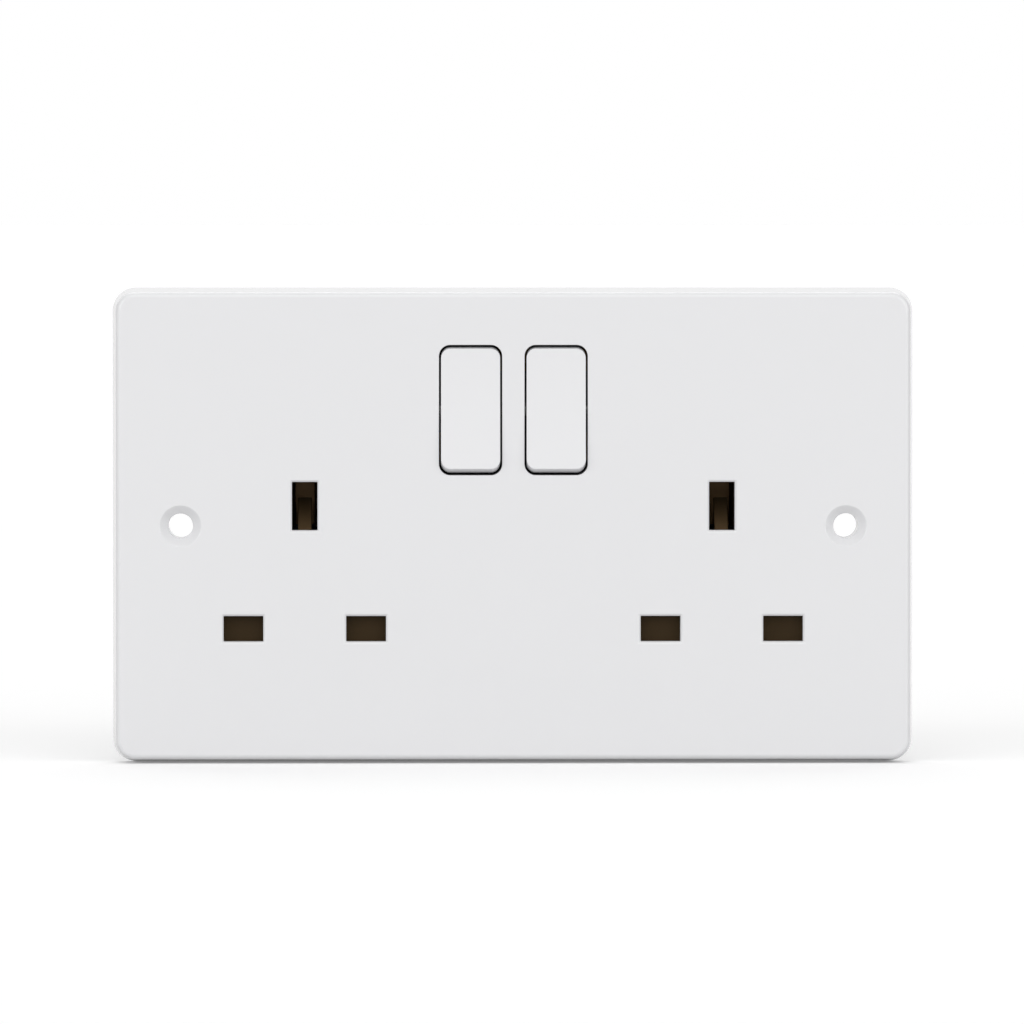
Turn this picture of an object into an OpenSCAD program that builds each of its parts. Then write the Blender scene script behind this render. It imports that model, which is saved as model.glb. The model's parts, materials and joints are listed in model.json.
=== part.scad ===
// Twin switched socket outlet: face plate, rockers, switch works, shutters,
// contacts, terminals and rear housing.
// Lengths are in millimetres. X runs to the right as seen from the front, Z up and Y into the wall.
// Y is zero on the wall, and the origin lies midway between the two fixing holes.

/* [Plate] */
// width of the face plate
plate_w = 145.5; // [142:0.5:150]
// height of the face plate
plate_h = 86.2; // [84:0.1:90]
// how far the face stands off the wall
plate_depth = 9.5; // [9:0.25:11]
// radius of the plate's corners
plate_corner_r = 4.2; // [3.5:0.1:6]
// radius of the edge round the face
plate_edge_r = 1; // [0.6:0.1:1.6]
// lean of the plate's sides, in degrees
plate_lean = 5; // [3:0.5:6]
// thickness of the face
skin_t = 3; // [2.6:0.1:3.4]
// thickness of the plate's rim
rim_t = 2.2; // [1.6:0.1:2.6]
// thickness of the stiffening ribs
rib_t = 1.4; // [1:0.1:2]

/* [Fixing holes] */
// distance between the fixing holes
fixing_pitch = 120.6; // [119:0.1:122]
// bore of a fixing hole
fixing_hole_d = 4.5; // [4.2:0.1:4.8]
// mouth of a fixing hole's countersink
fixing_head_d = 7.5; // [7:0.1:8.5]
// outside of the sleeve round a fixing hole
fixing_sleeve_d = 9.4; // [9:0.1:10]

/* [Socket outlets] */
// distance between the two outlets
outlet_pitch = 75.6; // [75:0.2:77]
// distance between line and neutral pins, and from them up to the earth pin
pin_pitch = 22.23; // [22:0.01:22.5]
// height of the earth slot's middle over the fixing holes
earth_z = 3.6; // [3:0.1:4.2]
// clearance of a slot along the long side of its pin
slot_play_long = 0.42; // [0.35:0.01:0.45]
// clearance of a slot along the short side of its pin
slot_play_short = 0.32; // [0.3:0.01:0.4]
// bevel round a pin slot
slot_bevel = 0.35; // [0.2:0.05:0.5]

/* [Plug pins] */
// width of a line or neutral pin
pin_w = 6.35; // [6.3:0.01:6.4]
// thickness of every pin
pin_t = 3.97; // [3.9:0.01:4]
// height of the earth pin
earth_pin_h = 7.92; // [7.8:0.01:8]

/* [Rocker switches] */
// distance between the two rockers
rocker_pitch = 15.5; // [15.2:0.1:16]
// height of the rockers' middle over the fixing holes
rocker_z = 21; // [20.6:0.1:21.4]
// width of a rocker's window
window_w = 11.45; // [11:0.05:11.8]
// height of a rocker's window
window_h = 23.6; // [23:0.05:24]
// corner radius of a rocker's window
window_r = 2.05; // [1.6:0.05:2.4]
// gap round a rocker
rocker_gap = 0.37; // [0.25:0.01:0.45]
// depth of the rocker's axis behind the face
axis_depth = 2.7; // [2.6:0.1:3]
// swing of a rocker between off and on, in degrees
rocker_swing = 8; // [7:0.5:11]
// hollow in a rocker's face
rocker_dish = 0.3; // [0.2:0.05:0.7]
// rocker behind its axis
rocker_back = 1.5; // [1.3:0.1:1.7]
// diameter of a rocker's trunnions
trunnion_d = 2.4; // [2:0.1:2.6]
// length of a trunnion in its slot
trunnion_len = 1.35; // [1.1:0.05:1.5]
// thickness of the cheeks beside the rockers
cheek_t = 1.9; // [1.8:0.1:2.2]
// height of the cheeks behind the face
cheek_h = 4.5; // [4:0.1:4.8]
// running clearance of the small pivots and slides
fit_gap = 0.06; // [0.04:0.01:0.1]

/* [Plungers and blades] */
// bore of the rocker's stem
stem_bore_d = 3.6; // [3.4:0.1:3.8]
// wall of the rocker's stem
stem_wall = 0.9; // [0.7:0.1:1]
// reach of the stem behind the rocker's axis
stem_reach = 5.2; // [4.8:0.1:5.4]
// depth of the stem's bore in front of the rocker's axis
bore_front = 1.5; // [1.2:0.1:1.7]
// reach of the plunger's tip behind the rocker's axis
plunger_reach = 9; // [8.8:0.1:9.3]
// length of the plunger
plunger_len = 7.6; // [7.2:0.1:7.8]
// depth of the cup in the plunger
plunger_cup = 3.2; // [2.8:0.1:3.4]
// bore of the cup in the plunger
cup_d = 2.5; // [2.4:0.1:2.6]
// wire of the plunger's spring
plunger_wire_d = 0.36; // [0.3:0.02:0.4]
// turns of the plunger's spring
plunger_turns = 6; // [5:1:7]
// clearance between the plunger's tip and a level blade
tip_gap = 0.1; // [0.08:0.01:0.15]
// width of a contact blade
blade_w = 5; // [4.6:0.1:5.4]
// thickness of a contact blade
blade_t = 1; // [0.9:0.05:1.1]
// reach of the blade's free end from its pivot
blade_tail = 8; // [7:0.2:8.4]
// distance from the blade's pivot to its contact tip
tip_arm = 8.5; // [8.3:0.1:8.6]
// radius of the bead the blade rocks on
bead_r = 0.9; // [0.8:0.05:0.95]
// tilt of a blade in the off position, in degrees
blade_tilt = 9.5; // [9:0.1:10]
// diameter of a moving contact tip
tip_d = 3.2; // [3:0.1:3.4]
// thickness of a contact tip at its edge
tip_edge = 0.4; // [0.3:0.05:0.5]
// radius of a contact tip's dome
tip_dome_r = 4; // [3.6:0.1:4.4]
// diameter of a contact tip's shank
tip_shank_d = 1.6; // [1.4:0.1:1.8]
// diameter of a fixed contact tip
fixed_tip_d = 3.6; // [3.4:0.1:3.8]
// thickness of a fixed contact tip
fixed_tip_t = 0.8; // [0.6:0.1:1]

/* [Contacts] */
// thickness of the contact strips
strip_t = 1; // [0.8:0.1:1.2]
// depth of the line and neutral strips behind the wall
strip_y = 9.2; // [9:0.1:9.5]
// depth of the earth strip behind the wall
earth_strip_y = 13.6; // [13.5:0.1:13.8]
// thickness of the gripping leaves
leaf_t = 0.8; // [0.7:0.05:0.9]
// half of a jaw's outside at its base
jaw_half = 3; // [2.8:0.1:3.2]
// how far each leaf springs back as a pin goes in
leaf_spring = 0.28; // [0.2:0.02:0.4]
// depth of the jaws' mouths behind the wall
jaw_mouth_y = 0.8; // [0.6:0.1:1]
// length of the mouth in front of the grip
jaw_mouth_len = 2.4; // [2.2:0.1:2.8]
// height of the earth jaw's leaves
earth_leaf_h = 8; // [7.6:0.1:8.4]
// width of the long strips
strip_w = 5; // [4.6:0.1:5.4]
// height of the live strips' lower edge over the fixing holes
live_strip_z = 11.5; // [11:0.1:12]
// depth of the neutral strip's lower edge under the fixing holes
neutral_strip_z = 29; // [28.6:0.1:29.4]
// thickness of the folded rest that a blade rocks in
cradle_t = 1.5; // [1.3:0.1:1.7]
// half of the rest's height
cradle_half = 2; // [1.8:0.1:2.2]
// width of a rivet plate behind a fixed tip
shelf_h = 4.2; // [4:0.1:4.4]

/* [Shutters] */
// width of a shutter
shutter_w = 30.6; // [30:0.1:31]
// thickness of a shutter's cover
shutter_t = 2; // [1.8:0.1:2.1]
// clearance of a shutter in its guides
shutter_gap = 0.2; // [0.1:0.05:0.3]
// shutter over the top of a closed slot
cover_above = 0.7; // [0.6:0.05:0.8]
// shutter under the bottom of a closed slot
cover_below = 1; // [0.8:0.05:1.2]
// travel of a shutter
shutter_travel = 6; // [5.9:0.05:6.1]
// width of a shutter's stem
stem_w = 6; // [5:0.2:6.4]
// width of the cam in the earth slot
cam_w = 2.5; // [2.2:0.1:3]
// height of the cam over the foot of the earth slot
cam_rise = 6.1; // [6:0.05:6.2]
// depth of the cam's crest in front of the wall
cam_crest_y = 0.6; // [0.5:0.05:0.8]
// length of the web under the cam
cam_web = 5; // [4.6:0.1:5.4]
// mean diameter of a shutter's spring
shutter_coil_d = 3; // [2.8:0.1:3.1]
// wire of a shutter's spring
shutter_wire_d = 0.5; // [0.4:0.02:0.54]
// turns of a shutter's spring
shutter_turns = 7; // [6:1:8]
// length of a shutter's spring with the shutter closed
shutter_spring_len = 13; // [12.6:0.1:13.4]
// diameter of the pegs that hold the spring
peg_d = 1.8; // [1.6:0.1:2]
// length of a peg
peg_len = 2.6; // [2:0.1:3]
// thickness of the ledge under the spring
ledge_t = 2; // [1.6:0.1:2.4]

/* [Terminals] */
// side of a terminal block
block_s = 8; // [7.8:0.1:8.2]
// bore for the conductor
wire_bore_d = 4.5; // [4.2:0.1:4.6]
// depth of the conductor's bore
wire_bore_len = 7; // [6.6:0.1:7.2]
// wall in front of the conductor's bore
block_wall = 1.25; // [1.1:0.05:1.4]
// diameter of a terminal screw
clamp_d = 4; // [3.8:0.1:4.1]
// length of a terminal screw
clamp_len = 6.5; // [6:0.1:6.8]
// driver slot across a terminal screw
driver_w = 0.8; // [0.6:0.1:1]
// depth of a driver slot
driver_depth = 1; // [0.8:0.1:1.2]
// distance of the live terminal right of the middle
live_block_x = 21; // [20.6:0.1:21.4]
// height of the live terminal over the fixing holes
live_block_z = 26; // [25.8:0.1:26]
// height of the earth terminals over the fixing holes
earth_block_z = 25; // [24.8:0.1:25.4]
// height of the neutral terminal over the fixing holes
neutral_block_z = -26; // [-26.2:0.1:-25.8]

/* [Rear housing] */
// width of the rear housing
housing_w = 109; // [108.6:0.1:109.4]
// height of the rear housing
housing_h = 68; // [67.8:0.1:68.6]
// reach of the rear housing behind the wall
housing_back = 18.3; // [18.2:0.1:19]
// front edge of the rear housing in front of the wall
housing_front = 1; // [0.8:0.1:1.1]
// thickness of the rear housing's walls
housing_t = 1.8; // [1.6:0.1:1.8]
// cut off the rear housing's corners
housing_chamfer = 3.4; // [3:0.1:3.6]
// distance of the upper assembly posts from the middle
upper_post_x = 48.5; // [48.2:0.1:48.7]
// height of the upper assembly posts over the fixing holes
upper_post_z = 25; // [24.8:0.1:25.2]
// distance of the lower assembly posts from the middle
lower_post_x = 15; // [14.6:0.1:15.4]
// height of the lower assembly posts over the fixing holes
lower_post_z = -10; // [-10.4:0.1:-9.6]
// diameter of the assembly posts
post_d = 6.4; // [6.2:0.1:6.6]
// diameter of an assembly screw
assembly_d = 3; // [2.8:0.1:3.1]
// head of an assembly screw
assembly_head_d = 5.4; // [5.2:0.1:5.6]
// height of an assembly screw's head
assembly_head_h = 2; // [1.8:0.1:2.2]
// length of an assembly screw under its head
assembly_len = 19.6; // [19:0.1:19.8]
// access hole over a terminal screw
access_d = 5.2; // [5:0.1:5.6]
// width of a cable notch in the rear housing
notch_w = 6.4; // [6:0.1:6.6]
// side of the pads behind the strips
pad_s = 4.6; // [4.2:0.1:4.8]

/* [Hidden] */
$fn = 48;

// planes across the depth
face_y = -plate_depth;
skin_y = face_y + skin_t;
over = skin_t;
arc_sides = 240;

// the plate's edge: where its arc is centred, and where the leaning side meets it
edge_y = face_y + plate_edge_r;
edge_inset = plate_edge_r / cos(plate_lean) - edge_y * tan(plate_lean);
edge_meet_y = edge_y - plate_edge_r * sin(plate_lean);
edge_meet = plate_edge_r * cos(plate_lean);

// rocker
axis_y = face_y + axis_depth;
rocker_r = window_h / 2 - rocker_gap;
rocker_w = window_w - 2 * rocker_gap;
rim_r = window_r - rocker_gap;
rest_turn = rocker_swing / 2;
reach_turn = asin(axis_depth / rocker_r) + rest_turn;
face_reach = rocker_r * sin(reach_turn);
face_half = rocker_r * cos(reach_turn);
dish_r = (face_half * face_half + rocker_dish * rocker_dish) / (2 * rocker_dish);
stem_d = stem_bore_d + 2 * stem_wall;

// plunger, its spring and the blade
plunger_d = stem_bore_d - 2 * fit_gap;
plunger_back = plunger_reach - plunger_len;
cup_floor = plunger_back + plunger_cup;
plunger_spring_d = cup_d - plunger_wire_d - 4 * fit_gap;
plunger_spring_len = bore_front + cup_floor - 2 * fit_gap;
blade_y = axis_y + plunger_reach + tip_gap + blade_t;
dome_h = tip_dome_r - sqrt(tip_dome_r * tip_dome_r - tip_d * tip_d / 4);
dome_y = tip_edge + dome_h - tip_dome_r;
touch_y = blade_y + dome_y * cos(blade_tilt) + tip_arm * sin(blade_tilt) + tip_dome_r;
fixed_tip_y = touch_y + fit_gap / 2;
fixed_tip_z = rocker_z - dome_y * sin(blade_tilt) + tip_arm * cos(blade_tilt);
shelf_y = fixed_tip_y + fixed_tip_t;
blade_end = tip_arm + tip_d / 2 + 4 * fit_gap;
bead_gap_y = (cradle_half + strip_t) * tan(blade_tilt) + fit_gap;
cradle_y = blade_y + bead_gap_y;

// outlets
outlet_x = outlet_pitch / 2;
slot_w = pin_w + 2 * slot_play_long;
slot_h = pin_t + 2 * slot_play_short;
earth_slot_h = earth_pin_h + 2 * slot_play_long;
grip_half = pin_t / 2 - leaf_spring;
line_dx = pin_pitch / 2;
line_z = earth_z - pin_pitch;
earth_foot = earth_z - earth_pin_h / 2;

// strips
strip_back = strip_y + strip_t;
earth_back = earth_strip_y + strip_t;
live_strip_top = live_strip_z + strip_w;
neutral_strip_top = -neutral_strip_z + strip_w - strip_t;
shelf_top = fixed_tip_z + shelf_h / 2 - fit_gap;
shelf_foot = shelf_top - shelf_h;

// shutter
cover_y = skin_y + shutter_gap;
cover_back = cover_y + shutter_t;
cover_top = line_z + slot_h / 2 + cover_above;
cover_foot = line_z - slot_h / 2 - cover_below;
coil_y = skin_y + shutter_gap / 2 + (shutter_coil_d + shutter_wire_d) / 2 + shutter_gap;
ledge_z = cover_foot - shutter_spring_len;
cam_foot = earth_foot - cover_above;

// terminals
bore_r = wire_bore_d / 2;
live_block_y = strip_y - block_s;
earth_block_y = earth_strip_y - block_s;
bore_dy = block_wall + bore_r;
clamp_dy = bore_dy + bore_r + fit_gap;

// rear housing and screws
floor_y = housing_back - housing_t;
half_w = housing_w / 2;
half_h = housing_h / 2;
screw_seat_y = housing_back - assembly_head_h - shutter_gap * 3;
notch_y = strip_y - housing_t;
earth_notch_y = earth_strip_y - housing_t;

white = [0.93, 0.93, 0.92];
grey = [0.2, 0.2, 0.21];
brown = [0.36, 0.25, 0.15];
brass = [0.8, 0.65, 0.3];
silver = [0.82, 0.82, 0.8];
steel = [0.66, 0.67, 0.69];

// A flat shape in X and Z, carried from one depth to another.
module slab(front, back) {
  translate([0, back, 0])
    rotate([90, 0, 0])
      linear_extrude(back - front)
        children();
}

// A flat shape in Y and Z, carried from left to right.
module along_x(left, right) {
  translate([left, 0, 0])
    rotate([90, 0, 90])
      linear_extrude(right - left)
        children();
}

// A box between two corners.
module box(low, high) {
  translate(low)
    cube(high - low);
}

// A rectangle with round corners.
module rounded(w, h, r) {
  square([w - 2 * r, h], center = true);
  square([w, h - 2 * r], center = true);
  for (sx = [-1, 1])
    for (sz = [-1, 1])
      translate([sx * (w / 2 - r), sz * (h / 2 - r)])
        circle(r);
}

// A round peg or hole along Y at a place in X and Z.
module round_y(x, z, d, front, back) {
  slab(front, back)
    translate([x, z])
      circle(d / 2);
}

// Half of a section through the plate, from its middle out to the leaning side and up from the wall.
module edge_profile(reach) {
  mid = reach - edge_inset;
  polygon([
    [0, 0],
    [reach, 0],
    [mid + edge_meet, -edge_meet_y],
    [mid, -edge_y],
    [mid, plate_depth],
    [0, plate_depth]
  ]);
  translate([mid, -edge_y])
    intersection() {
      circle(plate_edge_r);
      polygon([
        [0, 0],
        [2 * edge_meet, 2 * (edge_y - edge_meet_y)],
        [2 * plate_edge_r, 2 * plate_edge_r],
        [0, 2 * plate_edge_r]
      ]);
    }
}

// The whole section, as along_x takes it.
module edge_section(half) {
  for (m = [0, 1])
    mirror([0, m])
      rotate(90)
        edge_profile(half);
}

// The plate's outside, solid.
module plate_block() {
  wide = plate_w / 2 - plate_corner_r;
  high = plate_h / 2 - plate_corner_r;
  along_x(-wide, wide)
    edge_section(plate_h / 2);
  rotate([0, 90, 0])
    along_x(-high, high)
      edge_section(plate_w / 2);
  for (sx = [-1, 1])
    for (sz = [-1, 1])
      translate([sx * wide, 0, sz * high])
        rotate([90, 0, 0])
          rotate([0, 0, atan2(sz, sx) - 45])
            rotate_extrude(angle = 90)
              edge_profile(plate_corner_r);
}

// A slot for a plug pin through the face, with its bevel.
module pin_slot(x, z, w, h) {
  low_x = x - w / 2;
  low_z = z - h / 2;
  box([low_x, face_y - over, low_z], [low_x + w, skin_y + over, low_z + h]);
  intersection() {
    along_x(low_x - over, low_x + w + over)
      polygon([
        [face_y, low_z - slot_bevel],
        [face_y + slot_bevel, low_z],
        [face_y + slot_bevel, low_z + h],
        [face_y, low_z + h + slot_bevel]
      ]);
    translate([0, 0, low_z - over])
      linear_extrude(h + 2 * over)
        polygon([
          [low_x - slot_bevel, face_y],
          [low_x, face_y + slot_bevel],
          [low_x + w, face_y + slot_bevel],
          [low_x + w + slot_bevel, face_y]
        ]);
  }
}

// The slots and the shutter's guides belong to one outlet, whose middle is at x.
module outlet_slots(x) {
  pin_slot(x, earth_z, slot_h, earth_slot_h);
  for (s = [-1, 1])
    pin_slot(x + s * line_dx, line_z, slot_w, slot_h);
}

// Rails beside the shutter, stops over it, and the ledge and peg under its spring.
module outlet_guides(x) {
  rail = shutter_w / 2 + shutter_gap;
  for (s = [-1, 1]) {
    near = x + s * rail;
    far = x + s * (rail + rib_t);
    box([min(near, far), skin_y - rib_t, cover_foot - shutter_travel - rib_t],
      [max(near, far), cover_back, cover_top + 2 * rib_t]);
    stop = x + s * (stem_w / 2 + rail) / 2;
    box([stop - rib_t, skin_y - rib_t, cover_top + shutter_gap],
      [stop + rib_t, cover_back, cover_top + shutter_gap + rib_t]);
  }
  box([x - 2 * peg_d, skin_y - rib_t, ledge_z - ledge_t], [x + 2 * peg_d, coil_y + peg_d, ledge_z]);
  translate([x, coil_y, ledge_z - ledge_t / 2])
    cylinder(d = peg_d, h = peg_len + ledge_t / 2 - shutter_gap);
}

// The places of the four posts that the rear housing is screwed to.
module at_posts() {
  for (s = [-1, 1]) {
    translate([s * upper_post_x, 0, upper_post_z])
      children();
    translate([s * lower_post_x, 0, lower_post_z])
      children();
  }
}

module front_plate() {
  cheek_w = rocker_pitch + window_w + 2 * cheek_t;
  cheek_high = window_h + 2 * cheek_t;
  color(white)
    difference() {
      union() {
        difference() {
          plate_block();
          slab(skin_y, over)
            rounded(plate_w - 2 * rim_t, plate_h - 2 * rim_t, plate_corner_r - rim_t);
        }
        for (s = [-1, 1]) {
          round_y(s * fixing_pitch / 2, 0, fixing_sleeve_d, skin_y - rib_t, 0);
          outlet_guides(s * outlet_x);
        }
        at_posts()
          round_y(0, 0, post_d, skin_y - rib_t, -housing_front);
        box([-cheek_w / 2, skin_y - rib_t, rocker_z - cheek_high / 2],
          [cheek_w / 2, skin_y + cheek_h, rocker_z + cheek_high / 2]);
      }
      for (s = [-1, 1]) {
        round_y(s * fixing_pitch / 2, 0, fixing_hole_d, face_y - over, over);
        translate([s * fixing_pitch / 2, face_y, 0])
          rotate([-90, 0, 0])
            cylinder(d1 = fixing_head_d, d2 = 0, h = fixing_head_d / 2);
        outlet_slots(s * outlet_x);
        translate([s * rocker_pitch / 2, 0, rocker_z]) {
          slab(face_y - over, skin_y + cheek_h + over)
            rounded(window_w, window_h, window_r);
          trunnion_slot();
        }
      }
      at_posts()
        round_y(0, 0, assembly_d, skin_y, over);
    }
}

// The slots that a rocker's trunnions lie in, open at the back.
module trunnion_slot() {
  reach = window_w / 2 + trunnion_len + fit_gap;
  slot = trunnion_d + 2 * fit_gap;
  translate([0, axis_y, 0]) {
    along_x(-reach, reach)
      circle(slot / 2);
    box([-reach, 0, -slot / 2], [reach, cheek_h + axis_depth + over, slot / 2]);
  }
}

// A wheel about the rocker's axis, its rims rounded to suit the window's corners.
module rocker_wheel() {
  rotate([0, 90, 0])
    rotate_extrude()
      intersection() {
        rounded(2 * rocker_r, rocker_w, rim_r);
        translate([0, -rocker_w])
          square([2 * rocker_r, 2 * rocker_w]);
      }
}

// The rocker about its own axis, level.
module rocker_body() {
  pocket_low = stem_d / 2 + stem_wall;
  pocket_high = rocker_r - 2 * stem_wall;
  pocket_w = rocker_w - 4 * stem_wall;
  difference() {
    union() {
      intersection() {
        rocker_wheel();
        box([-rocker_w, -rocker_r, -2 * rocker_r], [rocker_w, rocker_back, 2 * rocker_r]);
      }
      round_y(0, 0, stem_d, 0, stem_reach);
      along_x(-window_w / 2 - trunnion_len, window_w / 2 + trunnion_len)
        circle(trunnion_d / 2);
    }
    translate([0, rocker_dish - face_reach - dish_r, 0])
      along_x(-rocker_w, rocker_w)
        circle(dish_r, $fn = arc_sides);
    round_y(0, 0, stem_bore_d, -bore_front, stem_reach + over);
    for (s = [-1, 1])
      box([-pocket_w / 2, -bore_front, (s > 0) ? pocket_low : -pocket_high],
        [pocket_w / 2, rocker_back + over, (s > 0) ? pocket_high : -pocket_low]);
  }
}

// Puts a piece of the switch on a rocker's axis, turned to its rest.
module on_rocker(side) {
  translate([side * rocker_pitch / 2, axis_y, rocker_z])
    rotate([-rest_turn, 0, 0])
      children();
}

module rocker(side) {
  color(white)
    on_rocker(side)
      rocker_body();
}

// The plunger slides in the rocker's stem, and its round end bears on the blade.
module plunger(side) {
  r = plunger_d / 2;
  color(grey)
    on_rocker(side)
      rotate([-90, 0, 0])
        difference() {
          rotate_extrude()
            union() {
              translate([0, plunger_back])
                square([r, plunger_len - r]);
              translate([0, plunger_reach - r])
                intersection() {
                  circle(r);
                  square(r);
                }
            }
          translate([0, 0, plunger_back - over])
            cylinder(d = cup_d, h = plunger_cup + over);
        }
}

// Half a ring of wire.
module half_ring(ring_r, wire_r) {
  rotate_extrude(angle = 180)
    translate([ring_r, 0])
      circle(wire_r);
}

// A coil spring up Z: level half rings, joined by half rings that rise and are a little finer.
module coil(mean_d, wire_d, turns, length) {
  ring_r = mean_d / 2;
  rise = (length - wire_d) / turns;
  tilt = atan(rise / mean_d);
  finer_share = 0.94;
  for (i = [0 : turns - 1])
    translate([0, 0, wire_d / 2 + i * rise]) {
      half_ring(ring_r, wire_d / 2);
      translate([0, 0, rise / 2])
        rotate([0, -tilt, 0])
          rotate([0, 0, 180])
            half_ring(ring_r / cos(tilt), wire_d * finer_share / 2);
    }
}

module plunger_spring(side) {
  color(steel)
    on_rocker(side)
      translate([0, fit_gap - bore_front, 0])
        rotate([-90, 0, 0])
          coil(plunger_spring_d, plunger_wire_d, plunger_turns, plunger_spring_len);
}

// Puts a piece on a blade's pivot, tilted to its rest.
module on_blade(side) {
  translate([side * rocker_pitch / 2, blade_y, rocker_z])
    rotate([blade_tilt, 0, 0])
      children();
}

module contact_blade(side) {
  color(brass)
    on_blade(side)
      difference() {
        union() {
          box([-blade_w / 2, -blade_t, -blade_tail], [blade_w / 2, 0, blade_end]);
          along_x(-blade_w / 2, blade_w / 2)
            circle(bead_r);
        }
        round_y(0, tip_arm, tip_shank_d + fit_gap, -blade_t - over, over);
      }
}

module moving_tip(side) {
  color(silver)
    on_blade(side)
      translate([0, 0, tip_arm])
        union() {
          round_y(0, 0, tip_shank_d, -blade_t, tip_edge / 2);
          intersection() {
            round_y(0, 0, tip_d, 0, tip_edge + dome_h);
            translate([0, dome_y, 0])
              sphere(tip_dome_r);
          }
        }
}

module fixed_contact_tips() {
  color(silver)
    for (s = [-1, 1])
      translate([s * rocker_pitch / 2, 0, fixed_tip_z]) {
        round_y(0, 0, fixed_tip_d, fixed_tip_y, shelf_y);
        round_y(0, 0, tip_shank_d, shelf_y - fixed_tip_t / 2, shelf_y + strip_t);
      }
}

// The bar from the live terminal, folded forward behind each switch to carry a fixed tip.
module live_bar() {
  bar_end = live_block_x + block_s / 2;
  color(brass)
    difference() {
      union() {
        box([-(rocker_pitch + blade_w) / 2, strip_y, shelf_foot], [bar_end, strip_back, shelf_top]);
        box([bar_end - block_s, strip_y, live_block_z - block_s / 2], [bar_end, strip_back, shelf_top]);
        for (s = [-1, 1])
          translate([s * rocker_pitch / 2, 0, 0]) {
            box([-blade_w / 2, shelf_y, shelf_foot], [blade_w / 2, shelf_y + strip_t, shelf_top]);
            box([-blade_w / 2, shelf_y, shelf_top - strip_t], [blade_w / 2, strip_back, shelf_top]);
          }
      }
      for (s = [-1, 1])
        round_y(s * rocker_pitch / 2, fixed_tip_z, tip_shank_d + fit_gap,
          shelf_y - over / 2, shelf_y + strip_t + fit_gap);
      round_y(live_block_x, live_block_z, clamp_d + 4 * fit_gap, strip_y - over, strip_back + over);
    }
}

// One leaf of a jaw, as a section: y along the pin, and the distance from the pin's middle.
module leaf_section(base_y) {
  outer = grip_half + leaf_t;
  grip_y = jaw_mouth_y + jaw_mouth_len;
  flare = leaf_t + fit_gap * 4;
  polygon([
    [base_y + strip_t / 2, jaw_half - leaf_t],
    [(base_y + grip_y) / 2, jaw_half - leaf_t / 2],
    [grip_y, grip_half],
    [jaw_mouth_y, grip_half + flare],
    [jaw_mouth_y, outer + flare],
    [grip_y, outer],
    [(base_y + grip_y) / 2, jaw_half + leaf_t / 2],
    [base_y + strip_t / 2, jaw_half]
  ]);
}

// A jaw for a line or neutral pin, its leaves over and under the pin.
module jaw(x) {
  wide = jaw_half;
  translate([x, 0, line_z]) {
    box([-wide, strip_y, -jaw_half], [wide, strip_back, jaw_half]);
    for (m = [0, 1])
      mirror([0, 0, m])
        along_x(-wide, wide)
          leaf_section(strip_y);
  }
}

// The switched contact of one outlet: the rest for the blade, the strip across and down, and the jaw.
module live_contact(side) {
  jaw_x = side * outlet_x + line_dx;
  rest_x = side * rocker_pitch / 2;
  left = min(jaw_x - jaw_half, rest_x - blade_w / 2);
  right = max(jaw_x + jaw_half, rest_x + blade_w / 2);
  leg_top = rocker_z - cradle_half;
  color(brass)
    difference() {
      union() {
        box([left, strip_y, live_strip_z], [right, strip_back, live_strip_top]);
        box([jaw_x - jaw_half, strip_y, line_z], [jaw_x + jaw_half, strip_back, live_strip_top]);
        jaw(jaw_x);
        box([rest_x - blade_w / 2, strip_y, live_strip_z], [rest_x + blade_w / 2, strip_back, leg_top]);
        box([rest_x - blade_w / 2, cradle_y, leg_top - strip_t],
          [rest_x + blade_w / 2, strip_back, leg_top]);
        box([rest_x - blade_w / 2, cradle_y, leg_top - strip_t],
          [rest_x + blade_w / 2, cradle_y + cradle_t, rocker_z + cradle_half]);
      }
      translate([0, blade_y, rocker_z])
        along_x(rest_x - blade_w, rest_x + blade_w)
          circle(bead_r + fit_gap);
    }
}

// The neutral strip: two jaws, the strip under them and the tab behind the neutral terminal.
module neutral_strip() {
  left = -outlet_x - line_dx;
  right = outlet_x - line_dx;
  color(brass)
    difference() {
      union() {
        box([left - jaw_half, strip_y, -neutral_strip_z],
          [right + jaw_half, strip_back, neutral_strip_top]);
        for (x = [left, right]) {
          box([x - jaw_half, strip_y, -neutral_strip_z], [x + jaw_half, strip_back, line_z]);
          jaw(x);
        }
        box([-block_s / 2, strip_y, neutral_block_z - block_s / 2],
          [block_s / 2, strip_back, neutral_block_z + block_s / 2]);
      }
      round_y(0, neutral_block_z, clamp_d + 4 * fit_gap, strip_y - over, strip_back + over);
    }
}

// The earth strip behind everything: two long jaws, the strip between them and a leg up to each terminal.
module earth_strip() {
  leg = jaw_half + leaf_t / 2;
  color(brass)
    difference() {
      union() {
        box([-outlet_x - leg, earth_strip_y, earth_z - jaw_half],
          [outlet_x + leg, earth_back, earth_z + jaw_half]);
        for (s = [-1, 1])
          translate([s * outlet_x, 0, 0]) {
            box([-leg, earth_strip_y, earth_z - earth_leaf_h / 2],
              [leg, earth_back, earth_block_z + block_s / 2]);
            for (m = [0, 1])
              mirror([m, 0, 0])
                translate([0, 0, earth_z - earth_leaf_h / 2])
                  linear_extrude(earth_leaf_h)
                    mirror([1, -1])
                      leaf_section(earth_strip_y);
          }
      }
      for (s = [-1, 1])
        round_y(s * outlet_x, earth_block_z, clamp_d + 4 * fit_gap,
          earth_strip_y - over, earth_back + over);
    }
}

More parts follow.
